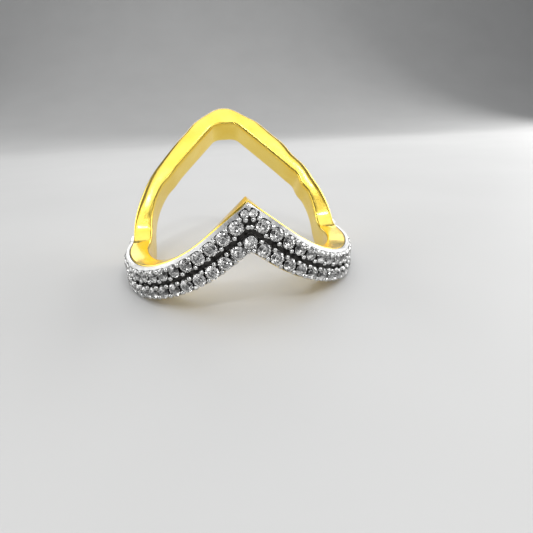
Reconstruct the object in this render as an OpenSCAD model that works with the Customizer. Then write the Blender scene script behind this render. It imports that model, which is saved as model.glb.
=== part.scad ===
// Chevron ring: a gold band whose front is a paved V, and whose back rises in a pointed arch.
// The ring stands on the two level feet at its sides, with the finger axis upright along Z.
// X runs across the finger, -Y is the paved front, and Z = 0 is what the ring rests on.

/* [Finger] */
// Inside diameter of the hole, across the sides
finger_d = 17.4; // [15:0.1:21]
// Wall of the paved front, from the finger to the face that carries the paving
front_wall = 1.8; // [1.5:0.05:2.2]
// Wall of the plain back of the band
back_wall = 1.65; // [1.4:0.05:2.2]
// Wall at the tip of the arch, where the casting is thickest
tip_wall = 2; // [1.6:0.05:2.4]

/* [Chevron front] */
// Height of the paved front, square to its arm
front_w = 2.8; // [2.4:0.05:3.4]
// Slope of the arms at the point
arm_angle = 41; // [30:0.5:48]
// Run of each arm before it starts to flatten
arm_run = 2.2; // [1.6:0.1:3]
// Radius of the curve that brings the arm down to its foot
sweep_r = 14.5; // [12:0.5:17]
// Angle by which each arm turns away from a plain round front at the point
crease_angle = 4; // [0:0.5:8]

/* [Feet] */
// Level run of the foot behind the widest point of the ring
foot_run = 1.3; // [0.4:0.1:2]
// Radius of the bend from the foot up into the arch
bend_r = 2.2; // [2:0.1:3]

/* [Arch] */
// Width of the back of the band
back_w = 3.4; // [2.6:0.1:4]
// Lean of the arch above the level
arch_tilt = 56; // [40:1:60]
// Turn of the arch's sides before its straight flanks
flank_angle = 41.5; // [36:0.1:50]
// Radius of the arch's sides
side_r = 10.7; // [9:0.1:14]
// Radius of the arch's tip
tip_r = 3; // [2:0.1:4]

/* [Paving] */
// Thickness of the white setting that holds the stones
pave_t = 0.4; // [0.3:0.05:0.6]
// Gold left bare along each edge of the front
pave_inset = 0.08; // [0.05:0.01:0.3]
// Gap between the gold and the setting
pave_gap = 0.05; // [0.03:0.01:0.1]

/* [Edges] */
// Rounding of the edges next to the finger
inner_round = 0.3; // [0.1:0.05:0.5]
// Rounding of the outer edges of the back
outer_round = 0.6; // [0.4:0.05:0.8]
// Rounding of the outer edges of the front
front_round = 0.12; // [0.05:0.01:0.3]

/* [Hidden] */

// Half of the ring is worked out on the right; the left half is its mirror.
// The front wraps a round wall, which lies flat in (u, z): u runs back from the point along the wall.
mid_r = finger_d / 2 + front_wall / 2;
plan_r = mid_r / (1 - sin(crease_angle));
deg = 180 / PI;
plan_len = (90 - crease_angle) / deg * plan_r;

// Lengths along the centre line of the band
arm_len = arm_run / cos(arm_angle);
sweep_len = sweep_r * arm_angle / deg;
sweep_end_u = arm_run + sweep_r * sin(arm_angle);
foot_len = plan_len + foot_run - sweep_end_u;
bend_len = bend_r * arch_tilt / deg;
foot_end = arm_len + sweep_len + foot_len;

// Heights of the centre line
foot_z = front_w / 2;
point_z = foot_z + arm_run * tan(arm_angle) + sweep_r * (1 - cos(arm_angle));

// The arch in its own plane: across in x, up the plane in y
flank_len = (mid_r - side_r * (1 - cos(flank_angle)) - tip_r * cos(flank_angle)) / sin(flank_angle);
side_len = side_r * flank_angle / deg;
tip_len = tip_r * (90 - flank_angle) / deg;
arch_rise = side_r * sin(flank_angle) + flank_len * cos(flank_angle) + tip_r * (1 - sin(flank_angle));
arch_y = foot_run + bend_r * sin(arch_tilt);
arch_z = foot_z + bend_r * (1 - cos(arch_tilt));

// The ring's own middle, front to back, is put over the origin
front_y = -plan_r * cos(crease_angle) - front_wall / 2 - pave_gap - pave_t;
tip_y = arch_y + arch_rise * cos(arch_tilt);
tip_reach = (tip_wall / 2 - outer_round) * cos(arch_tilt) + (back_w / 2 - outer_round) * sin(arch_tilt);
back_y = tip_y + tip_reach + outer_round;
middle_y = (front_y + back_y) / 2;

// Steps along each stretch of one half, across each flat face, and round each rounded corner
arm_steps = 4;
sweep_steps = 14;
foot_steps = 5;
bend_steps = 7;
side_steps = 10;
flank_steps = 4;
tip_steps = 8;
face_steps = 3;
corner_steps = 4;

// Share of the arch's side over which the front's section turns into the back's
side_share = 0.6;

// Centre line on the unrolled wall at length s: [u, z, slope]
function arm_at(s) = [s * cos(arm_angle), point_z - s * sin(arm_angle), -arm_angle];
function sweep_at(s) =
    let (slope = -arm_angle + s / sweep_r * deg)
    [arm_run + sweep_r * (sin(slope) + sin(arm_angle)), foot_z + sweep_r * (1 - cos(slope)), slope];
function foot_at(s) = [sweep_end_u + s, foot_z, 0];
function bend_at(s) =
    let (slope = s / bend_r * deg)
    [plan_len + foot_run + bend_r * sin(slope), foot_z + bend_r * (1 - cos(slope)), slope];
function wall_line(s) =
    s < arm_len ? arm_at(s)
    : s < arm_len + sweep_len ? sweep_at(s - arm_len)
    : s < foot_end ? foot_at(s - arm_len - sweep_len)
    : bend_at(s - foot_end);

// A point of the wall: out is measured from mid-wall, away from the finger
function wall_point(u, z, out) =
    let (
        start = asin((plan_r - mid_r) / (plan_r + out)),
        heading = start + (90 - start) * u / plan_len
    )
    u < plan_len
    ? [mid_r - plan_r + (plan_r + out) * sin(heading), -(plan_r + out) * cos(heading), z]
    : [mid_r + out, u - plan_len, z];

// Section points along the front and the bend. up is measured square to the centre line.
function front_point(s, out, up) =
    let (c = wall_line(s))
    wall_point(c[0] - up * sin(c[2]), c[1] + up * cos(c[2]), out);

// The first stretch starts on the mirror plane, where the arms are mitred
function arm_point(part, out, up) =
    let (start = -up * tan(arm_angle))
    front_point(start + (arm_len - start) * part, out, up);

// Section points along the arch
function arch_heading(s) =
    s < side_len ? s / side_r * deg
    : s < side_len + flank_len ? flank_angle
    : flank_angle + (s - side_len - flank_len) / tip_r * deg;
function arch_line(s) =
    let (
        turn = min(arch_heading(s), flank_angle),
        along = max(0, min(flank_len, s - side_len)),
        tip = max(flank_angle, arch_heading(s))
    )
    [
        mid_r - side_r * (1 - cos(turn)) - along * sin(flank_angle) - tip_r * (cos(flank_angle) - cos(tip)),
        side_r * sin(turn) + along * cos(flank_angle) + tip_r * (sin(tip) - sin(flank_angle))
    ];
function arch_point(s, out, up) =
    let (
        c = arch_line(s),
        heading = arch_heading(s),
        x = c[0] + out * cos(heading),
        rise = c[1] + out * sin(heading)
    )
    [
        x,
        arch_y + rise * cos(arch_tilt) - up * sin(arch_tilt),
        arch_z + rise * sin(arch_tilt) + up * cos(arch_tilt)
    ];

// A rounded section as [out, up] points, turning from the outside over the top to the finger
function corner(cx, cy, r, from) = [
    for (i = [0 : corner_steps])
        let (a = from + 90 * i / corner_steps)
        [cx + r * cos(a), cy + r * sin(a)]
];
function face(out, from, to) = [for (i = [1 : face_steps - 1]) [out, from + (to - from) * i / face_steps]];
function section(inner, outer, w, inner_r, outer_r) = concat(
    corner(outer - outer_r, w / 2 - outer_r, outer_r, 0),
    corner(inner + inner_r, w / 2 - inner_r, inner_r, 90),
    face(inner, w / 2 - inner_r, -w / 2 + inner_r),
    corner(inner + inner_r, -w / 2 + inner_r, inner_r, 180),
    corner(outer - outer_r, -w / 2 + outer_r, outer_r, 270),
    face(outer, -w / 2 + outer_r, w / 2 - outer_r)
);

// Eases a value from a to b as part goes from 0 to 1
function ease(a, b, part) =
    let (t = max(0, min(1, part)))
    a + (b - a) * t * t * (3 - 2 * t);
// Section of the gold at length s of the arch, or of the front where s is 0
function band_section(s) =
    let (
        side = s / (side_len * side_share),
        tip = (s - side_len) / (flank_len + tip_len),
        wall = ease(front_wall, back_wall, side) + ease(0, tip_wall - back_wall, tip)
    )
    section(
        -wall / 2, wall / 2,
        ease(front_w, back_w, side),
        inner_round,
        ease(front_round, outer_round, side)
    );

// Rings of points for one half, from the mirror plane at the point to the other end
function arm_rings(shape) = [
    for (i = [0 : arm_steps - 1])
        [for (p = shape) arm_point(i / arm_steps, p[0], p[1])]
];
function front_rings(shape) = [
    for (i = [0 : sweep_steps + foot_steps + bend_steps])
        let (
            s = i < sweep_steps ? arm_len + sweep_len * i / sweep_steps
            : i < sweep_steps + foot_steps
            ? arm_len + sweep_len + foot_len * (i - sweep_steps) / foot_steps
            : foot_end + bend_len * (i - sweep_steps - foot_steps) / bend_steps
        )
        [for (p = shape) front_point(s, p[0], p[1])]
];
function arch_rings() = [
    for (i = [1 : side_steps + flank_steps + tip_steps])
        let (
            s = i <= side_steps ? side_len * i / side_steps
            : i <= side_steps + flank_steps
            ? side_len + flank_len * (i - side_steps) / flank_steps
            : side_len + flank_len + tip_len * (i - side_steps - flank_steps) / tip_steps
        )
        [for (p = band_section(s)) arch_point(s, p[0], p[1])]
];

// Mirrored rings run the other way, so that one skin covers both halves
function flip(rings) = [for (i = [len(rings) - 1 : -1 : 0]) [for (p = rings[i]) [-p[0], p[1], p[2]]]];
function without_first(rings) = [for (i = [1 : len(rings) - 1]) rings[i]];
function without_last(rings) = [for (i = [0 : len(rings) - 2]) rings[i]];

// Two triangles for each cell between neighbouring rings
function skin(rings, m, closed) = [
    for (i = [0 : len(rings) - (closed ? 1 : 2)], j = [0 : m - 1])
        let (
            next = (i + 1) % len(rings),
            a = i * m + j,
            b = i * m + (j + 1) % m,
            c = next * m + (j + 1) % m,
            d = next * m + j
        )
        each [[a, b, c], [a, c, d]]
];
module sweep(rings, closed) {
    m = len(rings[0]);
    last = (len(rings) - 1) * m;
    caps = closed ? [] : [
        [for (j = [m - 1 : -1 : 0]) j],
        [for (j = [0 : m - 1]) last + j]
    ];
    translate([0, -middle_y, 0])
        polyhedron(points = [for (ring = rings) each ring], faces = concat(skin(rings, m, closed), caps));
}

// The gold band: front, feet, bends and arch in one casting
module band() {
    half = concat(arm_rings(band_section(0)), front_rings(band_section(0)), arch_rings());
    color([0.93, 0.76, 0.24]) sweep(concat(half, without_first(without_last(flip(half)))), true);
}

// The white setting wraps the front from bend to bend, just clear of the gold
module pave_setting() {
    floor_out = front_wall / 2 + pave_gap;
    shape = section(floor_out, floor_out + pave_t, front_w - 2 * pave_inset, front_round / 2, front_round);
    half = concat(arm_rings(shape), front_rings(shape));
    color([0.86, 0.87, 0.88]) sweep(concat(without_last(flip(half)), half), false);
}

band();
pave_setting();
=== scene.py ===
"""Chevron ring: a yellow gold band, and the white paved V on its front."""

import logging
import math
from dataclasses import dataclass, field
from enum import Enum
from functools import cached_property
from random import Random
from typing import Callable, Iterable

import bmesh
import bpy
from bmesh.types import BMEdge, BMesh, BMVert
from bpy.types import Material, Mesh, NodeSocket, Object
from mathutils import Matrix, Vector


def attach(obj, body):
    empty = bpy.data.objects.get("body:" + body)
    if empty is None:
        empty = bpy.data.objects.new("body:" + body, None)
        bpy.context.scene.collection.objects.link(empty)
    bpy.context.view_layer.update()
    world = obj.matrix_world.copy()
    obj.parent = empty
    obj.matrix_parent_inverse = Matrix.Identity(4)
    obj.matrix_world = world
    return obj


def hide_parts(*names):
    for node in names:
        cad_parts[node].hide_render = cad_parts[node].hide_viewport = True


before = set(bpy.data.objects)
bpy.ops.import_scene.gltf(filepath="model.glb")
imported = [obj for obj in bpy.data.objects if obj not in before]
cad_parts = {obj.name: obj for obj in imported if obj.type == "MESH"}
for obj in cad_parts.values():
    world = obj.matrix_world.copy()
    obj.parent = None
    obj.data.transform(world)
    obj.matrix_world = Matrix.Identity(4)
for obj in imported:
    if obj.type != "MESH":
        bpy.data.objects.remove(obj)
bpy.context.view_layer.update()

log = logging.getLogger("chevron_ring")

MM = 0.001
WELD = 0.0005

Place = Callable[[Vector], Vector]
Triple = tuple[float, float, float]


class Side(Enum):
    """Which arm of the V something is on."""

    LEFT = -1
    RIGHT = 1


class Surface(Enum):
    """The surfaces of the white setting, in the order of its material slots: bright cut metal, and metal
    painted near black for the shade in the seats and under the stones.
    """

    BRIGHT = 0
    # Faces painted near black for the shade in the seats and under the stones.
    PAINTED_SHADE = 1


@dataclass(frozen=True)
class RingLine:
    """The line that the band follows, in millimetres and degrees.

    The front lies on an upright round wall. A place on it is given by its length `s` from the V's point,
    `out` from the middle of the wall away from the finger, and `up` square to the line. The round plan
    passes into the straight one over a length of `plan_ease` on each side of the ring's widest place.
    """

    finger_d: float = 17.4
    front_wall: float = 1.8
    back_wall: float = 1.65
    tip_wall: float = 2.0
    front_w: float = 2.8
    back_w: float = 3.4
    arm_angle: float = 41.0
    arm_run: float = 2.2
    sweep_r: float = 14.5
    crease_angle: float = 4.0
    plan_ease: float = 0.9
    foot_run: float = 1.3
    bend_r: float = 2.2
    arch_tilt: float = 56.0
    flank_angle: float = 41.5
    side_r: float = 10.7
    tip_r: float = 3.0
    pave_t: float = 0.4
    pave_gap: float = 0.05

    @cached_property
    def mid_r(self) -> float:
        """Radius of the middle of the wall at the ring's sides."""
        return (self.finger_d + self.front_wall) / 2

    @cached_property
    def plan_r(self) -> float:
        """Radius of the wall in plan, a little larger than the ring so that the arms meet in a crease."""
        return self.mid_r / (1 - math.sin(math.radians(self.crease_angle)))

    @cached_property
    def plan_len(self) -> float:
        """Length of the wall from the point to the ring's widest place."""
        return math.radians(90 - self.crease_angle) * self.plan_r

    @cached_property
    def arm_len(self) -> float:
        """Length of an arm's straight stretch."""
        return self.arm_run / math.cos(math.radians(self.arm_angle))

    @cached_property
    def sweep_end(self) -> float:
        """Length at which the arm has come down to its level foot."""
        return self.arm_len + self.sweep_r * math.radians(self.arm_angle)

    @cached_property
    def sweep_end_u(self) -> float:
        """Place of that end along the wall."""
        return self.arm_run + self.sweep_r * math.sin(math.radians(self.arm_angle))

    @cached_property
    def foot_end(self) -> float:
        """Length at which the foot bends up."""
        return self.sweep_end + self.plan_len + self.foot_run - self.sweep_end_u

    @cached_property
    def front_len(self) -> float:
        """Length at which the bend passes into the arch."""
        return self.foot_end + self.bend_r * math.radians(self.arch_tilt)

    @cached_property
    def side_len(self) -> float:
        """Length of the arch's round side."""
        return self.side_r * math.radians(self.flank_angle)

    @cached_property
    def flank_len(self) -> float:
        """Length of the arch's straight flank."""
        turn = math.radians(self.flank_angle)
        reach = self.mid_r - self.side_r * (1 - math.cos(turn)) - self.tip_r * math.cos(turn)
        return reach / math.sin(turn)

    @cached_property
    def tip_len(self) -> float:
        """Length of half of the arch's round tip."""
        return self.tip_r * math.radians(90 - self.flank_angle)

    @cached_property
    def half_len(self) -> float:
        """Length of half of the ring, from the V's point to the tip of the arch."""
        return self.front_len + self.side_len + self.flank_len + self.tip_len

    @cached_property
    def setting_out(self) -> float:
        """How far the setting's face lies outside the middle of the wall."""
        return self.front_wall / 2 + self.pave_gap + self.pave_t

    @cached_property
    def foot_z(self) -> float:
        """Height of the line over the feet."""
        return self.front_w / 2

    @cached_property
    def point_z(self) -> float:
        """Height of the line at the V's point."""
        turn = math.radians(self.arm_angle)
        return self.foot_z + self.arm_run * math.tan(turn) + self.sweep_r * (1 - math.cos(turn))

    @cached_property
    def middle_y(self) -> float:
        """Shift that puts the ring's footprint over the origin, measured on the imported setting."""
        front = -(self.plan_r + self.setting_out) * math.cos(math.asin(
            (self.plan_r - self.mid_r) / (self.plan_r + self.setting_out)))
        return front - self.lowest_front / MM

    @cached_property
    def lowest_front(self) -> float:
        """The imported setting's foremost place at the point, in metres."""
        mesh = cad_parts["pave_setting"].data
        return min(v.co.y for v in mesh.vertices if abs(v.co.x) < WELD * MM)

    def mitre(self, up: float) -> float:
        """Length at which an arm starts on the plane between the arms, at a height square to the line."""
        return -up * math.tan(math.radians(self.arm_angle))

    def turned(self, s: float) -> float:
        """Angle in radians by which the front's line has turned upwards over a length from the point."""
        sweep = min(max(s, self.arm_len), self.sweep_end) - self.arm_len
        return sweep / self.sweep_r + max(0.0, s - self.foot_end) / self.bend_r

    def wall_line(self, s: float) -> Triple:
        """The line on the unrolled wall.

        Args:
            s: Length from the point.
        Returns:
            The place along the wall, the height, and the slope in radians.
        """
        slope = self.turned(s) - math.radians(self.arm_angle)
        if s < self.arm_len:
            return s * math.cos(slope), self.point_z + s * math.sin(slope), slope
        if s < self.sweep_end:
            u = self.arm_run + self.sweep_r * (math.sin(slope) + math.sin(math.radians(self.arm_angle)))
            return u, self.foot_z + self.sweep_r * (1 - math.cos(slope)), slope
        if s < self.foot_end:
            return self.sweep_end_u + s - self.sweep_end, self.foot_z, 0.0
        u = self.plan_len + self.foot_run + self.bend_r * math.sin(slope)
        return u, self.foot_z + self.bend_r * (1 - math.cos(slope)), slope

    def front_point(self, s: float, out: float, up: float) -> Vector:
        """A place on the right half of the front or its bend.

        Args:
            s: Length from the point.
            out: Distance from the middle of the wall, away from the finger.
            up: Height square to the line.
        Returns:
            The place in millimetres, in the ring's own frame.
        """
        u, z, slope = self.wall_line(s)
        u -= up * math.sin(slope)
        z += up * math.cos(slope)
        radius = self.plan_r + out
        start = math.asin((self.plan_r - self.mid_r) / radius)
        heading = start + (math.pi / 2 - start) * min(u / self.plan_len, 1)
        x = self.mid_r - self.plan_r + radius * math.sin(heading)
        past = u - self.plan_len
        stretch = radius * (math.pi / 2 - start) / self.plan_len - 1
        smoothing = stretch * max(0.0, self.plan_ease - abs(past)) ** 2 / (4 * self.plan_ease)
        y = max(0.0, past) - radius * math.cos(heading) - smoothing
        return Vector((x, y - self.middle_y, z))

    def arch_point(self, s: float, out: float, up: float) -> Vector:
        """A place on the right half of the arch.

        Args:
            s: Length from the end of the bend.
            out: Distance from the middle of the wall, away from the finger.
            up: Height square to the arch's own plane.
        Returns:
            The place in millimetres, in the ring's own frame.
        """
        flank = math.radians(self.flank_angle)
        side = min(s / self.side_r, flank)
        along = min(max(s - self.side_len, 0.0), self.flank_len)
        tip = flank + max(0.0, s - self.side_len - self.flank_len) / self.tip_r
        heading = tip if s > self.side_len + self.flank_len else side
        x = self.mid_r - self.side_r * (1 - math.cos(side)) - along * math.sin(flank)
        x -= self.tip_r * (math.cos(flank) - math.cos(tip))
        rise = self.side_r * math.sin(side) + along * math.cos(flank)
        rise += self.tip_r * (math.sin(tip) - math.sin(flank))
        rise += out * math.sin(heading)
        tilt = math.radians(self.arch_tilt)
        y = self.foot_run + self.bend_r * math.sin(tilt) + rise * math.cos(tilt) - up * math.sin(tilt)
        z = self.foot_z + self.bend_r * (1 - math.cos(tilt)) + rise * math.sin(tilt) + up * math.cos(tilt)
        return Vector((x + out * math.cos(heading), y - self.middle_y, z))

    def point(self, s: float, out: float, up: float) -> Vector:
        """A place on the right half of the ring, with the arm's first stretch mitred at the point.

        Args:
            s: Length from the V's point to the tip of the arch.
            out: Distance from the middle of the wall, away from the finger.
            up: Height square to the line.
        Returns:
            The place in millimetres, in the ring's own frame.
        """
        if s > self.front_len:
            return self.arch_point(s - self.front_len, out, up)
        if s < self.arm_len:
            start = self.mitre(up)
            s = start + (self.arm_len - start) * s / self.arm_len
        return self.front_point(s, out, up)

    def stand(self, s: float, out: float, up: float, side: Side) -> Matrix:
        """A frame for a small thing that stands on the front: X along the line, Y up, Z outwards.

        Args:
            s: Length from the point.
            out: Distance from the middle of the wall.
            up: Height square to the line.
            side: The arm that it stands on.
        Returns:
            The matrix that places it, in millimetres.
        """
        step = 0.05
        place = self.front_point(s, out, up)
        along = (self.front_point(s + step, out, up) - place).normalized()
        face = along.cross(self.front_point(s, out, up + step) - place).normalized()
        if side is Side.LEFT:
            flip = Vector((-1, 1, 1))
            place, along, face = place * flip, -along * flip, face * flip
        if face.dot(Vector((place.x, place.y, 0))) < 0:
            face = -face
        turn = Matrix((along, face.cross(along), face)).transposed().to_4x4()
        return Matrix.Translation(place) @ turn


class Bench:
    """Steps that several pieces share."""

    @staticmethod
    def ease(start: float, end: float, part: float) -> float:
        """Eases a value from start, where part is 0 or less, to end, where part is 1 or more."""
        part = min(max(part, 0.0), 1.0)
        return start + (end - start) * part * part * (3 - 2 * part)

    @staticmethod
    def run(edge: BMEdge) -> float:
        """How far an edge runs along X."""
        return abs(edge.verts[0].co.x - edge.verts[1].co.x)

    @staticmethod
    def long_bar(steps: int, corner: float, arc_steps: int, face_steps: int) -> BMesh:
        """A bar with rounded long edges and open ends, in its own unit box.

        Args:
            steps: Cuts along its length.
            corner: Radius of its corners, where the box is 2 across.
            arc_steps: Segments round each corner.
            face_steps: Strips across each flat face.
        Returns:
            The bar, with its length along X from -1 to 1.
        """
        bm = bmesh.new()
        bmesh.ops.create_cube(bm, size=2)
        ends = [f for f in bm.faces if abs(f.normal.x) > 0.5]
        bmesh.ops.delete(bm, geom=ends, context="FACES_ONLY")
        edges = [e for e in bm.edges if Bench.run(e) > 1]
        bmesh.ops.bevel(bm, geom=edges, offset=corner, segments=arc_steps, profile=0.5, affect="EDGES",
                        material=-1)
        flats = [e for e in bm.edges if Bench.run(e) < 1 and e.calc_length() > corner]
        bmesh.ops.subdivide_edges(bm, edges=flats, cuts=face_steps - 1, use_grid_fill=True)
        edges = [e for e in bm.edges if Bench.run(e) > 1]
        bmesh.ops.subdivide_edges(bm, edges=edges, cuts=steps - 1, use_grid_fill=True)
        return bm

    @staticmethod
    def stretch(part: float, corner: float, half: float, radius: float) -> float:
        """Fits one coordinate of the unit bar's section to a real section.

        Args:
            part: The coordinate, from -1 to 1.
            corner: The unit bar's corner radius.
            half: Half of the real size.
            radius: The real corner radius.
        Returns:
            The real coordinate.
        """
        flat = 1 - corner
        if abs(part) <= flat:
            return part / flat * (half - radius)
        return math.copysign(half - radius + (abs(part) - flat) / corner * radius, part)

    @staticmethod
    def wrap(bm: BMesh, place: Place) -> None:
        """Moves every vertex of a flat mesh to its place on the ring."""
        for vert in bm.verts:
            vert.co = place(vert.co)

    @staticmethod
    def add(bm: BMesh, part: BMesh) -> None:
        """Adds one mesh to another.

        Args:
            bm: The mesh that grows.
            part: The mesh that is added, freed here.
        """
        mesh = bpy.data.meshes.new("part")
        part.to_mesh(mesh)
        part.free()
        bm.from_mesh(mesh)
        bpy.data.meshes.remove(mesh)

    @staticmethod
    def mirror(bm: BMesh) -> None:
        """Adds the left half of a right half, welded on the plane between them.

        Args:
            bm: The right half.
        """
        for vert in bm.verts:
            if abs(vert.co.x) < WELD:
                vert.co.x = 0
        bmesh.ops.mirror(bm, geom=bm.verts[:] + bm.edges[:] + bm.faces[:], axis="X", merge_dist=WELD)
        bmesh.ops.remove_doubles(bm, verts=bm.verts, dist=WELD)
        bmesh.ops.recalc_face_normals(bm, faces=bm.faces)

    @staticmethod
    def place(name: str, bm: BMesh, looks: Iterable[Material]) -> Object:
        """Puts a mesh into the scene as an object.

        Args:
            name: Name of the object.
            bm: Its mesh, freed here.
            looks: Its materials, in the order of its faces' material numbers.
        Returns:
            The new object.
        """
        mesh = bpy.data.meshes.new(name)
        bm.to_mesh(mesh)
        bm.free()
        for look in looks:
            mesh.materials.append(look)
        thing = bpy.data.objects.new(name, mesh)
        bpy.context.scene.collection.objects.link(thing)
        return thing

    @staticmethod
    def finish(name: str, bm: BMesh, looks: Iterable[Material], edge_deg: float, slot: str,
               node: str = "") -> None:
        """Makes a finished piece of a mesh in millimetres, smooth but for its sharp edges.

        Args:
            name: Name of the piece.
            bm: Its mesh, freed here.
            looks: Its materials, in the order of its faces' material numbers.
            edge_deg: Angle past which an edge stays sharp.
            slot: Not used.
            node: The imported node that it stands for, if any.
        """
        bmesh.ops.scale(bm, verts=bm.verts, vec=(MM, MM, MM))
        for face in bm.faces:
            face.smooth = True
        for edge in bm.edges:
            edge.smooth = edge.calc_face_angle(0.0) < math.radians(edge_deg)
        piece = Bench.place(name, bm, looks)
        if node:
            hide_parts(node)
        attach(piece, "root")
        piece.data.calc_loop_triangles()
        log.info("%s: %d triangles", name, len(piece.data.loop_triangles))


@dataclass
class Shader:
    """A material made of the plain surface shader and noise, used from `pattern_low` to `pattern_high`."""

    name: str
    pattern_low: float = 0.3
    pattern_high: float = 0.7
    material: Material = field(init=False)

    def __post_init__(self) -> None:
        """Makes the material with its surface shader and its coordinates."""
        self.material = bpy.data.materials.new(self.name)
        self.material.use_nodes = True
        self.tree = self.material.node_tree
        self.surface = self.tree.nodes["Principled BSDF"]
        self.place = self.tree.nodes.new("ShaderNodeTexCoord").outputs["Object"]

    def set(self, **values: object) -> None:
        """Sets sockets of the surface shader, with underscores for spaces in their names."""
        for key, value in values.items():
            self.surface.inputs[key.replace("_", " ")].default_value = value

    def noise(self, size: float, detail: float = 3.0) -> NodeSocket:
        """A noise pattern fixed to the piece.

        Args:
            size: Size of its blotches in millimetres.
            detail: Octaves of finer noise.
        Returns:
            The socket of its value.
        """
        mapping = self.tree.nodes.new("ShaderNodeMapping")
        mapping.inputs["Scale"].default_value = [1 / (size * MM)] * 3
        texture = self.tree.nodes.new("ShaderNodeTexNoise")
        texture.inputs["Scale"].default_value = 1.0
        texture.inputs["Detail"].default_value = detail
        self.tree.links.new(self.place, mapping.inputs["Vector"])
        self.tree.links.new(mapping.outputs["Vector"], texture.inputs["Vector"])
        return texture.outputs["Fac"]

    def ramp(self, value: NodeSocket, low: float, high: float, socket: str) -> None:
        """Drives a number of the surface shader by a pattern.

        Args:
            value: The pattern's socket.
            low: Number where the pattern is dark.
            high: Number where it is light.
            socket: Name of the shader's socket.
        """
        node = self.tree.nodes.new("ShaderNodeMapRange")
        node.inputs["From Min"].default_value = self.pattern_low
        node.inputs["From Max"].default_value = self.pattern_high
        node.inputs["To Min"].default_value = low
        node.inputs["To Max"].default_value = high
        self.tree.links.new(value, node.inputs["Value"])
        self.tree.links.new(node.outputs["Result"], self.surface.inputs[socket])

    def tint(self, value: NodeSocket, dark: tuple[float, ...], light: tuple[float, ...]) -> None:
        """Drives the surface colour by a pattern.

        Args:
            value: The pattern's socket.
            dark: Colour where the pattern is dark.
            light: Colour where it is light.
        """
        node = self.tree.nodes.new("ShaderNodeValToRGB")
        node.color_ramp.elements[0].position = self.pattern_low
        node.color_ramp.elements[0].color = (*dark, 1)
        node.color_ramp.elements[1].position = self.pattern_high
        node.color_ramp.elements[1].color = (*light, 1)
        self.tree.links.new(value, node.inputs["Fac"])
        self.tree.links.new(node.outputs["Color"], self.surface.inputs["Base Color"])

    def relief(self, value: NodeSocket, depth: float, strength: float = 1.0) -> None:
        """Adds a fine relief.

        Args:
            value: The pattern's socket.
            depth: Its depth in millimetres.
            strength: How far it is followed.
        """
        node = self.tree.nodes.new("ShaderNodeBump")
        node.inputs["Distance"].default_value = depth * MM
        node.inputs["Strength"].default_value = strength
        self.tree.links.new(value, node.inputs["Height"])
        self.tree.links.new(node.outputs["Normal"], self.surface.inputs["Normal"])


@dataclass(frozen=True)
class GoldFinish:
    """Polished yellow gold, with the slight waves and wipe marks of hand polishing."""

    light: Triple = (1.0, 0.76, 0.16)
    dark: Triple = (0.95, 0.66, 0.09)

    def material(self) -> Material:
        """Makes the material."""
        look = Shader("yellow_gold")
        look.set(Metallic=1.0)
        look.tint(look.noise(size=2.6, detail=4), self.dark, self.light)
        look.ramp(look.noise(size=0.9, detail=5), low=0.14, high=0.26, socket="Roughness")
        look.relief(look.noise(size=0.7, detail=4), depth=0.012, strength=0.5)
        return look.material


@dataclass(frozen=True)
class WhiteFinish:
    """Bright white metal, cut and rubbed smooth by the setter's tools, from `smooth` to `rough`."""

    name: str
    smooth: float
    rough: float
    light: Triple = (0.96, 0.96, 0.95)
    dark: Triple = (0.84, 0.84, 0.83)

    def material(self) -> Material:
        """Makes the material."""
        look = Shader(self.name)
        look.set(Metallic=1.0)
        look.tint(look.noise(size=0.5), self.dark, self.light)
        look.ramp(look.noise(size=0.2), self.smooth, self.rough, socket="Roughness")
        look.relief(look.noise(size=0.12), depth=0.006, strength=0.4)
        return look.material


@dataclass(frozen=True)
class PaintedSeatShade:
    """Painted shade: the cut seats between and under the stones, coloured near black for the shade that
    falls in them.
    """

    # Near-black colours over what is really cut white metal: painted shade.
    light: Triple = (0.07, 0.067, 0.064)
    dark: Triple = (0.01, 0.0095, 0.009)

    def material(self) -> Material:
        """Makes the material."""
        look = Shader("seat_metal")
        look.set(Metallic=1.0)
        look.tint(look.noise(size=0.3, detail=4), self.dark, self.light)
        look.ramp(look.noise(size=0.15), low=0.25, high=0.5, socket="Roughness")
        look.relief(look.noise(size=0.08), depth=0.01, strength=0.6)
        return look.material


@dataclass(frozen=True)
class StoneFinish:
    """Clear stone with a high refraction and a breath of grey."""

    colour: Triple = (0.86, 0.85, 0.83)
    refraction: float = 2.4

    def material(self) -> Material:
        """Makes the material."""
        look = Shader("clear_stone")
        look.set(Base_Color=(*self.colour, 1), IOR=self.refraction, Transmission_Weight=1.0)
        look.ramp(look.noise(size=0.6), low=0.0, high=0.02, socket="Roughness")
        return look.material


@dataclass(frozen=True)
class FileFlat:
    """A mark of the file on the arch: metal taken off its faces, or left on where a number is negative."""

    side: Side
    place: float
    reach: float
    inner: float
    outer: float

    def depth(self, side: Side, s: float, face: float) -> float:
        """How far the mark moves a place on the wall.

        Args:
            side: The half of the ring.
            s: Length from the V's point.
            face: Place across the wall, from -1 on its inside to 1 on its outside.
        Returns:
            The shift outwards in millimetres.
        """
        if side is not self.side:
            return 0.0
        part = Bench.ease(0, 1, 1 - abs(s - self.place) / self.reach)
        return part * (self.inner * (1 - face) - self.outer * (1 + face)) / 2


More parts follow.
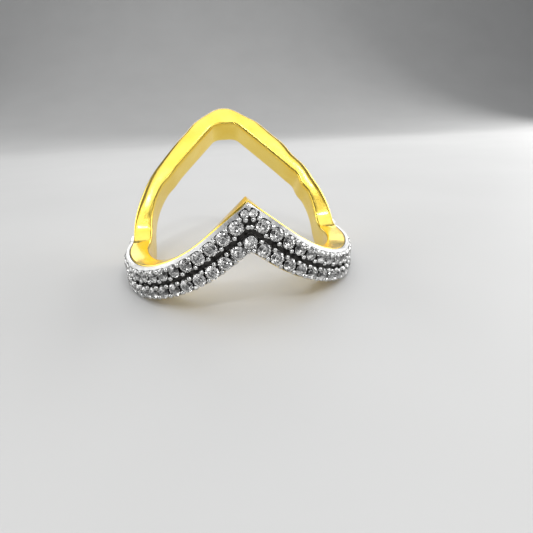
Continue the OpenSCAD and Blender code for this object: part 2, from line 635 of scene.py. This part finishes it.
@dataclass
class GoldBand:
    """The gold casting: front wall, feet, bends and arch."""

    line: RingLine
    inner_round: float = 0.3
    outer_round: float = 0.6
    front_round: float = 0.12
    side_share: float = 0.6
    steps: int = 560
    corner: float = 0.25
    arc_steps: int = 5
    face_steps: int = 6
    crown: float = 0.05
    flank_swell: float = 0.28
    swell_place: float = 0.45
    fillet_r: float = 2.8
    flats: tuple[FileFlat, ...] = (
        FileFlat(Side.LEFT, 37.85, 2.6, -0.3, 0.0), FileFlat(Side.RIGHT, 37.85, 2.6, -0.3, 0.0),
        FileFlat(Side.LEFT, 36.1, 1.6, 0.0, 0.22), FileFlat(Side.RIGHT, 36.0, 1.8, 0.0, 0.34),
        FileFlat(Side.RIGHT, 30.7, 1.5, 0.0, -0.1), FileFlat(Side.RIGHT, 28.6, 1.4, 0.0, 0.1),
        FileFlat(Side.RIGHT, 26.9, 1.0, 0.1, 0.0), FileFlat(Side.RIGHT, 25.4, 1.2, -0.14, 0.06),
        FileFlat(Side.LEFT, 28.2, 1.6, -0.1, 0.0), FileFlat(Side.LEFT, 33.0, 1.4, 0.0, 0.06),
    )

    def fillet(self, s: float) -> float:
        """How far the top face is filled up in the fold behind the foot.

        Args:
            s: Length from the V's point.
        Returns:
            The rise in millimetres.
        """
        line = self.line
        half = math.radians(line.arch_tilt) / 2
        fold_r = line.bend_r - line.front_w / 2
        away = abs(s - (line.foot_end + line.front_len) / 2)
        bend = line.bend_r * half
        if away > bend:
            left = max(0.0, (self.fillet_r - fold_r) * math.tan(half) - away + bend)
            return self.fillet_r - math.sqrt(self.fillet_r ** 2 - left * left)
        turn = half * away / bend
        apart = (self.fillet_r - fold_r) / math.cos(half)
        reach = math.sqrt(self.fillet_r ** 2 - (apart * math.sin(turn)) ** 2)
        return fold_r + apart * math.cos(turn) - reach

    def place(self, flat: Vector) -> Vector:
        """Gives the place on the band of a coordinate of the unit bar.

        Args:
            flat: Part of the length, outwards and up.
        Returns:
            The place in millimetres.
        """
        line = self.line
        half = Side.LEFT if flat.x < 0 else Side.RIGHT
        s = abs(flat.x) * line.half_len
        side = (s - line.front_len) / (line.side_len * self.side_share)
        tip = (s - line.front_len - line.side_len) / (line.flank_len + line.tip_len)
        wall = Bench.ease(line.front_wall, line.back_wall, side)
        wall += Bench.ease(0, line.tip_wall - line.back_wall, tip)
        width = Bench.ease(line.front_w, line.back_w, side)
        outer = Bench.ease(self.front_round, self.outer_round, side)
        radius = outer if flat.y > 0 else self.inner_round
        out = Bench.stretch(flat.y, self.corner, wall / 2, radius)
        up = Bench.stretch(flat.z, self.corner, width / 2, radius)
        out += sum(mark.depth(half, s, flat.y) for mark in self.flats)
        swell = line.front_len + line.side_len + line.flank_len * self.swell_place
        out += Bench.ease(0, self.flank_swell, 1 - abs(s - swell) / line.flank_len) * (1 + flat.y) / 2
        up += max(0.0, flat.z) * self.fillet(s)
        up += flat.z * (1 - flat.y * flat.y) * Bench.ease(0, self.crown, side)
        place = line.point(s, out, up)
        return Vector((place.x * half.value, place.y, place.z))

    def build(self, gold: Material) -> None:
        """Builds the band.

        Args:
            gold: Its material.
        """
        bm = Bench.long_bar(self.steps, self.corner, self.arc_steps, self.face_steps)
        Bench.wrap(bm, self.place)
        bmesh.ops.remove_doubles(bm, verts=bm.verts, dist=WELD)
        bmesh.ops.recalc_face_normals(bm, faces=bm.faces)
        Bench.finish("gold_band", bm, [gold], edge_deg=50, slot="yellow_gold", node="band")


@dataclass(frozen=True)
class StoneRow:
    """One row of stones at height `up`, with its strip of the setting between `rim` and `groove`."""

    line: RingLine
    up: float
    rim: float
    groove: float
    first: float
    point_up: float
    point_away: float
    point_stone: float
    point_sides: int
    rim_fall: float
    beads: tuple[float, float]
    pitch: float = 1.14
    stone: float = 0.52
    rounds: int = 12

    def station(self, x: float) -> float:
        """Length along the ring's line of a place along the row.

        Args:
            x: Length along the row itself, which is shorter or longer in the bends.
        Returns:
            The length along the line.
        """
        s = x
        for _ in range(self.rounds):
            s = x + self.up * self.line.turned(s)
        return s

    @cached_property
    def count(self) -> int:
        """Number of stones of the row on one arm, past those at the point."""
        length = self.line.front_len - self.up * self.line.turned(self.line.front_len)
        return int((length - self.first) / self.pitch + 0.5)

    def places(self) -> list[float]:
        """Places of the stones along the row."""
        return [self.first + self.pitch * i for i in range(self.count)]


@dataclass
class Setting:
    """The white setting: a floor painted dark for the shade under the stones, and a pierced strip over it
    for each row of stones.
    """

    line: RingLine
    rows: tuple[StoneRow, ...]
    inset: float = 0.08
    floor_t: float = 0.06
    corner: float = 0.25
    steps: int = 150
    rim_cuts: int = 3
    end_cuts: int = 5
    seat_w: float = 1.11
    seat_h: float = 1.2
    seat_sides: int = 6
    seat_taper: float = 0.8
    neck_share: float = 0.3
    slope_start: float = 0.15
    slope_w: float = 0.3
    fall_start: float = 0.45
    bright_share: float = 0.55
    web_tilt: float = 0.3
    hole_tilt: float = 0.7
    hole_reach: float = 0.6
    hole_edge: float = 1.01
    point_spare: float = 0.2
    end_share: float = 0.55
    end_w: float = 0.24
    end_fall: float = 0.5

    @property
    def back(self) -> float:
        """Distance of the setting's back from the middle of the wall."""
        return self.line.front_wall / 2 + self.line.pave_gap / 2

    def floor_place(self, flat: Vector) -> Vector:
        """Gives the place on the floor of a coordinate of the unit bar.

        Args:
            flat: Part of the length, outwards and up.
        Returns:
            The place in millimetres.
        """
        half = self.line.front_w / 2 - self.inset - self.floor_t
        out = self.back + self.floor_t * (1 + flat.y) / 2
        return self.line.point((flat.x + 1) / 2 * self.line.front_len, out, flat.z * half)

    def floor(self) -> BMesh:
        """Makes the floor under both rows.

        Returns:
            The floor's mesh, closed at its ends.
        """
        bm = Bench.long_bar(self.steps, self.corner, arc_steps=1, face_steps=3)
        rim = [e for e in bm.edges if e.is_boundary and min(v.co.x for v in e.verts) > 0.5]
        bmesh.ops.holes_fill(bm, edges=rim, sides=0)
        Bench.wrap(bm, self.floor_place)
        # The whole floor is painted dark for the shade under the stones.
        for face in bm.faces:
            face.material_index = Surface.PAINTED_SHADE.value
        return bm

    def end_place(self, flat: Vector) -> Vector:
        """Gives the place on the bar across the setting's end of a coordinate of the unit bar.

        Args:
            flat: Part of the bar's length, its width and its height.
        Returns:
            The place in millimetres.
        """
        half = self.line.front_w / 2 - self.inset
        s = self.line.front_len - self.end_w * (1 - flat.y) / 2
        rise = (self.line.setting_out - self.end_w / 4 - self.back) * (1 - self.end_fall * flat.x ** 4)
        return self.line.point(s, self.back + rise * (flat.z + 1) / 2, flat.x * half)

    def end_bar(self) -> BMesh:
        """Makes the bright bar that closes the setting where it meets the arch.

        Returns:
            The bar's mesh, closed.
        """
        bm = Bench.long_bar(steps=8, corner=self.corner, arc_steps=2, face_steps=2)
        bmesh.ops.holes_fill(bm, edges=[e for e in bm.edges if e.is_boundary], sides=0)
        Bench.wrap(bm, self.end_place)
        return bm

    def cell(self, row: StoneRow, start: float, end: float, seat: Vector, size: Vector, sides: int,
             turn: float) -> BMesh:
        """Makes one flat length of a strip with a hole through it.

        Args:
            row: The row that it belongs to.
            start: Where it starts along the row.
            end: Where it ends.
            seat: Middle of the hole, along and up.
            size: Half sizes of the hole, along and up.
            sides: Sides of the hole.
            turn: Angle by which the hole is turned.
        Returns:
            The mesh, open at both ends, with its thickness along Z from 0 to 1.
        """
        low, high = sorted((row.rim, row.groove))
        bm = bmesh.new()
        bmesh.ops.create_grid(bm, x_segments=1, y_segments=1, size=0.5)
        bmesh.ops.scale(bm, verts=bm.verts, vec=(end - start, high - low, 1))
        bmesh.ops.translate(bm, verts=bm.verts, vec=((start + end) / 2, (low + high) / 2, 0))
        long_edges = [e for e in bm.edges if abs(e.verts[0].co.y - e.verts[1].co.y) < WELD]
        end_edges = [e for e in bm.edges if e not in long_edges]
        bmesh.ops.subdivide_edges(bm, edges=long_edges, cuts=self.rim_cuts)
        bmesh.ops.subdivide_edges(bm, edges=end_edges, cuts=self.end_cuts)
        inner = [e for e in bm.edges if not e.is_boundary]
        bmesh.ops.dissolve_edges(bm, edges=inner, use_verts=False)
        bmesh.ops.delete(bm, geom=bm.faces[:], context="FACES_ONLY")
        hole = bmesh.ops.create_circle(bm, cap_ends=False, radius=1, segments=sides)["verts"]
        matrix = Matrix.Translation(seat) @ Matrix.Diagonal((*size, 1, 1)) @ Matrix.Rotation(turn, 4, "Z")
        bmesh.ops.transform(bm, matrix=matrix, verts=hole)
        bmesh.ops.bridge_loops(bm, edges=bm.edges[:])
        bmesh.ops.triangulate(bm, faces=bm.faces[:])
        sheet = bm.faces[:]
        top = bmesh.ops.extrude_face_region(bm, geom=sheet)["geom"]
        top_verts = [g for g in top if isinstance(g, BMVert)]
        bmesh.ops.translate(bm, verts=top_verts, vec=(0, 0, 1))
        self.shape(bm, row, seat, size)
        self.mark(bm, row, seat)
        return bm

    def height(self, row: StoneRow, up: float) -> float:
        """Height of a strip's face: full at the rim, and low between the stones and towards the groove.

        Args:
            row: The row.
            up: Place across the strip.
        Returns:
            The part of the strip's thickness.
        """
        part = (up - row.up) / (row.rim - row.up)
        share = Bench.ease(self.neck_share, 1.0, (part - self.slope_start) / self.slope_w)
        return share - row.rim_fall * max(0.0, part - self.fall_start)

    def shape(self, bm: BMesh, row: StoneRow, seat: Vector, size: Vector) -> None:
        """Tapers the hole towards the floor and gives the strip's face its heights.

        Args:
            bm: The cell.
            row: The row that it belongs to.
            seat: Middle of the hole.
            size: Half sizes of the hole.
        """
        for vert in bm.verts:
            part = Vector(((vert.co.x - seat.x) / size.x, (vert.co.y - seat.y) / size.y))
            if vert.co.z > 0.5:
                vert.co.z = self.height(row, vert.co.y)
            elif part.length < self.hole_edge:
                vert.co.x = seat.x + (vert.co.x - seat.x) * self.seat_taper
                vert.co.y = seat.y + (vert.co.y - seat.y) * self.seat_taper

    def mark(self, bm: BMesh, row: StoneRow, seat: Vector) -> None:
        """Marks the faces that are cut bright: the rim, its webs and outer wall, and the seat's own wall.
        All other faces take the painted shade of the recesses.

        Args:
            bm: The cell.
            row: The row that it belongs to.
            seat: Middle of the hole.
        """
        bm.normal_update()
        for face in bm.faces:
            middle = face.calc_center_median()
            web = abs(face.normal.z) > self.web_tilt and middle.z > self.bright_share
            wall = all(abs(v.co.y - row.rim) < WELD for v in face.verts)
            near = (middle - seat).xy.length < self.seat_w * self.hole_reach
            hole = abs(face.normal.z) < self.hole_tilt and near
            # Faces that are neither rim, web nor hole wall get painted shade.
            face.material_index = (Surface.BRIGHT if web or wall or hole else Surface.PAINTED_SHADE).value

    def strip(self, row: StoneRow) -> BMesh:
        """Makes the strip of one row, on the right half.

        Args:
            row: The row.
        Returns:
            The strip's mesh, wrapped on to the front.
        """
        half = row.pitch / 2
        seat = Vector((row.first, row.up, 0))
        size = Vector((self.seat_w / 2, self.seat_h / 2))
        bm = self.cell(row, row.first - half, row.first + half, seat, size, self.seat_sides,
                       math.pi / self.seat_sides)
        ends = [f for f in bm.faces if all(abs(v.co.x - row.first) > half - WELD for v in f.verts)]
        bmesh.ops.delete(bm, geom=ends, context="FACES_ONLY")
        unit = bm.verts[:] + bm.edges[:] + bm.faces[:]
        for i in range(1, row.count):
            copy = bmesh.ops.duplicate(bm, geom=unit)["geom"]
            verts = [g for g in copy if isinstance(g, BMVert)]
            bmesh.ops.translate(bm, verts=verts, vec=(row.pitch * i, 0, 0))
        self.add_point_cell(bm, row, row.first - half)
        bmesh.ops.remove_doubles(bm, verts=bm.verts, dist=WELD)
        bmesh.ops.delete(bm, geom=[e for e in bm.edges if e.is_wire], context="EDGES")
        far = row.first - half + row.pitch * row.count
        rim = [e for e in bm.edges if e.is_boundary and min(v.co.x for v in e.verts) > far - WELD]
        for vert in {v for e in rim for v in e.verts}:
            vert.co.z = min(vert.co.z, self.end_share)
        cap = bmesh.ops.holes_fill(bm, edges=rim, sides=0)["faces"]
        for face in cap:
            face.material_index = Surface.BRIGHT.value
        Bench.wrap(bm, lambda flat: self.strip_place(row, flat))
        return bm

    def add_point_cell(self, bm: BMesh, row: StoneRow, end: float) -> None:
        """Adds the cell at the point, cut off on the plane between the arms.

        Args:
            bm: The strip so far.
            row: The row.
            end: Where the cell ends along the row.
        """
        mitre = self.line.mitre(row.point_up)
        tilt = math.radians(self.line.arm_angle)
        seat = Vector((mitre + row.point_away, row.point_up, 0))
        half = row.point_stone / math.cos(math.pi / row.point_sides)
        size = Vector((half, half))
        start = min(self.line.mitre(max(row.rim, row.groove)), seat.x - size.x) - self.point_spare
        turn = math.pi / 4 if row.point_sides == 4 else math.pi / 2 + tilt
        cell = self.cell(row, start, end, seat, size, row.point_sides, turn)
        geom = cell.verts[:] + cell.edges[:] + cell.faces[:]
        bmesh.ops.bisect_plane(cell, geom=geom, dist=1e-6, plane_co=(0, 0, 0),
                               plane_no=(1, math.tan(tilt), 0), clear_inner=True)
        walls = [f for f in cell.faces if all(abs(v.co.x - end) < WELD for v in f.verts)]
        bmesh.ops.delete(cell, geom=walls, context="FACES_ONLY")
        Bench.add(bm, cell)

    def strip_place(self, row: StoneRow, flat: Vector) -> Vector:
        """Gives the place on the front of a flat coordinate of a strip.

        Args:
            row: The row.
            flat: Length along the row, height, and part of the thickness.
        Returns:
            The place in millimetres.
        """
        low = self.back + self.floor_t / 2
        out = low + (self.line.setting_out - low) * flat.z
        return self.line.front_point(row.station(flat.x), out, flat.y)

    def build(self, bright: Material, seat: Material) -> None:
        """Builds the setting.

        Args:
            bright: Material of its bright faces.
            seat: Material of the floor and the cut seats, painted near black for their shade.
        """
        whole = bmesh.new()
        for part in [self.floor(), self.end_bar()] + [self.strip(row) for row in self.rows]:
            Bench.add(whole, part)
        Bench.mirror(whole)
        Bench.finish("stone_setting", whole, [bright, seat], edge_deg=25, slot="white_metal",
                     node="pave_setting")


@dataclass
class Brilliant:
    """A round brilliant of radius 1, with its girdle at height 0."""

    table: float = 0.56
    crown: float = 0.3
    shoulder: float = 0.8
    shoulder_h: float = 0.175
    depth: float = 0.8
    waist: float = 0.06
    lower: float = 0.45
    belly: float = 0.96

    def mesh(self) -> Mesh:
        """Makes the stone as the hull of its rings of corners.

        Returns:
            The mesh, with flat facets.
        """
        bm = bmesh.new()
        eighth = math.pi / 8
        rings = (
            (8, self.table, self.crown, 0.0), (8, self.shoulder, self.shoulder_h, eighth),
            (16, 1.0, 0.0, 0.0), (16, 1.0, -self.waist, 0.0),
            (8, self.lower, -self.waist - self.depth * (1 - self.lower) * self.belly, eighth),
        )
        for sides, radius, height, turn in rings:
            verts = bmesh.ops.create_circle(bm, cap_ends=False, radius=radius, segments=sides)["verts"]
            matrix = Matrix.Translation((0, 0, height)) @ Matrix.Rotation(turn, 4, "Z")
            bmesh.ops.transform(bm, matrix=matrix, verts=verts)
        bmesh.ops.create_vert(bm, co=(0, 0, -self.waist - self.depth))
        bmesh.ops.delete(bm, geom=bm.edges[:], context="EDGES_FACES")
        bmesh.ops.convex_hull(bm, input=bm.verts[:])
        bmesh.ops.dissolve_limit(bm, angle_limit=math.radians(0.5), verts=bm.verts, edges=bm.edges)
        bmesh.ops.recalc_face_normals(bm, faces=bm.faces)
        mesh = bpy.data.meshes.new("brilliant")
        bm.to_mesh(mesh)
        bm.free()
        return mesh


@dataclass
class Stones:
    """All of the stones, and the beads that hold them."""

    line: RingLine
    rows: tuple[StoneRow, ...]
    sink: float = 0.01
    seed: int = 5
    lean: float = 0.06
    bead_r: float = 0.21
    bead_sink: float = 0.08
    bead_foot: float = 1.6
    bead_sides: int = 8
    bead_rings: int = 6
    point_beads: tuple[tuple[float, float], ...] = ((0.31, 0.58),)
    prong_up: float = 1.1
    prong_size: Triple = (0.16, 0.34, 0.2)

    def seats(self) -> list[tuple[Matrix, float]]:
        """Lists the stones.

        Returns:
            The frame and radius of each one.
        """
        out = self.line.setting_out - self.sink
        chance = Random(self.seed)
        seats = []
        for row in self.rows:
            for side in Side:
                for x in row.places():
                    lie = Matrix.Rotation(chance.uniform(-self.lean, self.lean), 4, "X")
                    lie @= Matrix.Rotation(chance.uniform(-self.lean, self.lean), 4, "Y")
                    lie @= Matrix.Rotation(chance.uniform(0, math.tau), 4, "Z")
                    seats.append((self.line.stand(row.station(x), out, row.up, side) @ lie, row.stone))
                if row.point_away > 0:
                    s = self.line.mitre(row.point_up) + row.point_away
                    seats.append((self.line.stand(s, out, row.point_up, side), row.point_stone))
            if row.point_away == 0:
                place = self.line.front_point(self.line.mitre(row.point_up), out, row.point_up)
                turn = Matrix.Rotation(math.pi / 2, 4, "X")
                seats.append((Matrix.Translation(place) @ turn, row.point_stone))
        return seats

    def bead_places(self) -> list[Matrix]:
        """Lists the beads: two in each gap of each row, and those at the point."""
        out = self.line.setting_out - self.bead_sink
        places = []
        for row in self.rows:
            for side in Side:
                for x in row.places():
                    for up in row.beads:
                        places.append(self.line.stand(row.station(x - row.pitch / 2), out, up, side))
        for away, up in self.point_beads:
            for side in Side:
                places.append(self.line.stand(self.line.mitre(up) + away, out, up, side))
        return places

    def prong(self) -> Matrix:
        """Gives the frame and size of the long prong on the plane between the arms."""
        out = self.line.setting_out - self.bead_sink
        place = self.line.front_point(self.line.mitre(self.prong_up), out, self.prong_up)
        turn = Matrix.Rotation(math.pi / 2, 4, "X")
        return Matrix.Translation(place) @ turn @ Matrix.Diagonal((*self.prong_size, 1))

    @staticmethod
    def spread(shape: Mesh, frames: Iterable[tuple[Matrix, float]]) -> BMesh:
        """Joins copies of a shape.

        Args:
            shape: The shape.
            frames: Frame and size of each copy.
        Returns:
            One mesh with all of the copies.
        """
        bm = bmesh.new()
        for matrix, size in frames:
            start = len(bm.verts)
            bm.from_mesh(shape)
            bm.verts.ensure_lookup_table()
            bmesh.ops.transform(bm, matrix=matrix @ Matrix.Scale(size, 4), verts=bm.verts[start:])
        bmesh.ops.recalc_face_normals(bm, faces=bm.faces)
        bpy.data.meshes.remove(shape)
        return bm

    def bead(self) -> Mesh:
        """Makes a bead of radius 1, drawn out a little to its foot."""
        bm = bmesh.new()
        bmesh.ops.create_uvsphere(bm, u_segments=self.bead_sides, v_segments=self.bead_rings, radius=1)
        foot = [v for v in bm.verts if v.co.z < 0]
        bmesh.ops.scale(bm, verts=foot, vec=(1, 1, self.bead_foot))
        mesh = bpy.data.meshes.new("bead")
        bm.to_mesh(mesh)
        bm.free()
        return mesh

    def build(self, clear: Material, bright: Material) -> None:
        """Builds the stones and the beads.

        Args:
            clear: Material of the stones.
            bright: Material of the beads, painted darker for the dark surroundings that they reflect.
        """
        stones = self.spread(Brilliant().mesh(), self.seats())
        Bench.finish("round_stones", stones, [clear], edge_deg=1, slot="clear_stone")
        frames = [(m, self.bead_r) for m in self.bead_places()] + [(self.prong(), 1.0)]
        beads = self.spread(self.bead(), frames)
        Bench.finish("bead_prongs", beads, [bright], edge_deg=60, slot="white_metal")


@dataclass(frozen=True)
class Viewpoint:
    """The camera's place, found by fitting the ring's outlines to the photograph."""

    photo_px: float = 533.0
    azimuth: float = -4.01
    elevation: float = 15.43
    roll: float = -3.92
    distance: float = 37.64
    focal_px: float = 372.35
    sensor: float = 36.0
    aim_px: tuple[float, float] = (237.96, 226.18)
    aim_below_point: float = 3.0

    def build(self, line: RingLine) -> None:
        """Makes the scene's camera.

        Args:
            line: The ring's line, whose point the camera's aim is measured from.
        """
        az, el, roll = (math.radians(a) for a in (self.azimuth, self.elevation, self.roll))
        back = Vector((math.sin(az) * math.cos(el), -math.cos(az) * math.cos(el), math.sin(el)))
        right = Vector((math.cos(az), math.sin(az), 0))
        up = back.cross(right)
        turned_right = right * math.cos(roll) + up * math.sin(roll)
        turned_up = up * math.cos(roll) - right * math.sin(roll)
        half = self.photo_px / 2
        sight = Vector((self.aim_px[0] - half, half - self.aim_px[1], -self.focal_px)) / self.focal_px
        aside = Vector((0, 0, -1)).rotation_difference(sight.normalized()).to_matrix()
        world = (aside @ Matrix((turned_right, turned_up, back))).transposed()
        aim = Vector((0, -line.middle_y, line.point_z - self.aim_below_point))
        data = bpy.data.cameras.new("photo_view")
        data.sensor_width = self.sensor
        data.lens = self.focal_px / self.photo_px * self.sensor
        data.clip_start = 1 * MM
        camera = bpy.data.objects.new("photo_view", data)
        camera.matrix_world = Matrix.Translation((aim + back * self.distance) * MM) @ world.to_4x4()
        bpy.context.scene.collection.objects.link(camera)
        bpy.context.scene.camera = camera


@dataclass(frozen=True)
class Lamp:
    """One soft lamp: where it stands, its width and height in metres, and its power in watts."""

    name: str
    place: Triple
    size: tuple[float, float]
    power: float


@dataclass(frozen=True)
class Studio:
    """A plain pale floor under soft light."""

    floor_size: float = 0.5
    sweep_r: float = 0.3
    sweep_steps: int = 24
    floor_colour: Triple = (0.6, 0.6, 0.595)
    floor_shade: float = 0.96
    surround_colour: Triple = (0.9, 0.92, 0.95)
    surround: float = 0.2
    lamps: tuple[Lamp, ...] = (
        Lamp("overhead_lamp", (0.0, -0.02, 0.3), (0.34, 0.56), 0.7),
        Lamp("left_lamp", (-0.28, 0.09, 0.1), (0.26, 0.14), 0.34),
        Lamp("right_lamp", (0.28, 0.07, 0.1), (0.3, 0.14), 0.6),
        Lamp("front_lamp", (0.12, -0.27, 0.12), (0.2, 0.12), 0.12),
        Lamp("left_rim_lamp", (-0.27, -0.12, 0.09), (0.12, 0.1), 0.06),
        Lamp("back_lamp", (0.04, 0.2, 0.1), (0.28, 0.07), 0.11),
        Lamp("left_glint", (-0.061, -0.173, 0.229), (0.03, 0.03), 0.08),
        Lamp("right_glint", (0.086, -0.152, 0.238), (0.03, 0.03), 0.08),
        Lamp("low_glint", (-0.09, -0.33, 0.05), (0.02, 0.02), 0.03),
        Lamp("side_glint", (0.16, -0.28, 0.1), (0.02, 0.02), 0.04),
    )

    def build(self) -> None:
        """Builds the floor, the lamps and the surround."""
        look = Shader("pale_floor")
        look.set(Roughness=0.6)
        shaded = tuple(c * self.floor_shade for c in self.floor_colour)
        look.tint(look.noise(size=30), shaded, self.floor_colour)
        bm = bmesh.new()
        bmesh.ops.create_grid(bm, x_segments=1, y_segments=1, size=self.floor_size)
        back = [e for e in bm.edges if min(v.co.y for v in e.verts) > 0]
        wall = bmesh.ops.extrude_edge_only(bm, edges=back)["geom"]
        verts = [g for g in wall if isinstance(g, BMVert)]
        bmesh.ops.translate(bm, verts=verts, vec=(0, 0, self.floor_size))
        fold = [e for e in bm.edges if len(e.link_faces) == 2]
        bmesh.ops.bevel(bm, geom=fold, offset=self.sweep_r, segments=self.sweep_steps, profile=0.5,
                        affect="EDGES", material=-1)
        for face in bm.faces:
            face.smooth = True
        Bench.place("floor", bm, [look.material])
        for lamp in self.lamps:
            self.hang(lamp)
        world = bpy.data.worlds.new("surround")
        world.use_nodes = True
        sky = world.node_tree.nodes["Background"].inputs
        sky["Color"].default_value = (*self.surround_colour, 1)
        sky["Strength"].default_value = self.surround
        bpy.context.scene.world = world
        bpy.context.scene.view_settings.view_transform = "Standard"

    @staticmethod
    def hang(lamp: Lamp) -> None:
        """Hangs a lamp that faces the ring.

        Args:
            lamp: The lamp.
        """
        data = bpy.data.lights.new(lamp.name, "AREA")
        data.shape = "RECTANGLE"
        data.size, data.size_y = lamp.size
        data.energy = lamp.power
        light = bpy.data.objects.new(lamp.name, data)
        light.location = lamp.place
        light.rotation_euler = Vector(lamp.place).to_track_quat("Z", "Y").to_euler()
        light.visible_camera = False
        bpy.context.scene.collection.objects.link(light)


def main() -> None:
    """Builds the ring, its stage and its view."""
    logging.basicConfig(level=logging.INFO)
    line = RingLine()
    Viewpoint().build(line)
    Studio().build()
    rows = (
        StoneRow(line, up=0.57, rim=1.32, groove=0.03, first=0.62, point_up=0.93, point_away=0.36,
                 point_stone=0.3, point_sides=4, rim_fall=0.7, beads=(0.86, 0.12)),
        StoneRow(line, up=-0.8, rim=-1.32, groove=-0.26, first=1.8, point_up=-0.78, point_away=0.0,
                 point_stone=0.46, point_sides=12, rim_fall=1.1, beads=(-0.38, -1.16)),
    )
    cut = WhiteFinish("white_metal", smooth=0.26, rough=0.42)
    # The beads' white metal is painted darker than the cut metal: a painted dark reflection of the
    # surroundings.
    painted_dark = WhiteFinish("burnished_beads", smooth=0.1, rough=0.2, light=(0.74, 0.74, 0.73),
                            dark=(0.5, 0.5, 0.49))
    GoldBand(line).build(GoldFinish().material())
    # The setting's seats and floor take near-black painted shade.
    Setting(line, rows).build(cut.material(), PaintedSeatShade().material())
    Stones(line, rows).build(StoneFinish().material(), painted_dark.material())


if __name__ == "__main__":
    main()
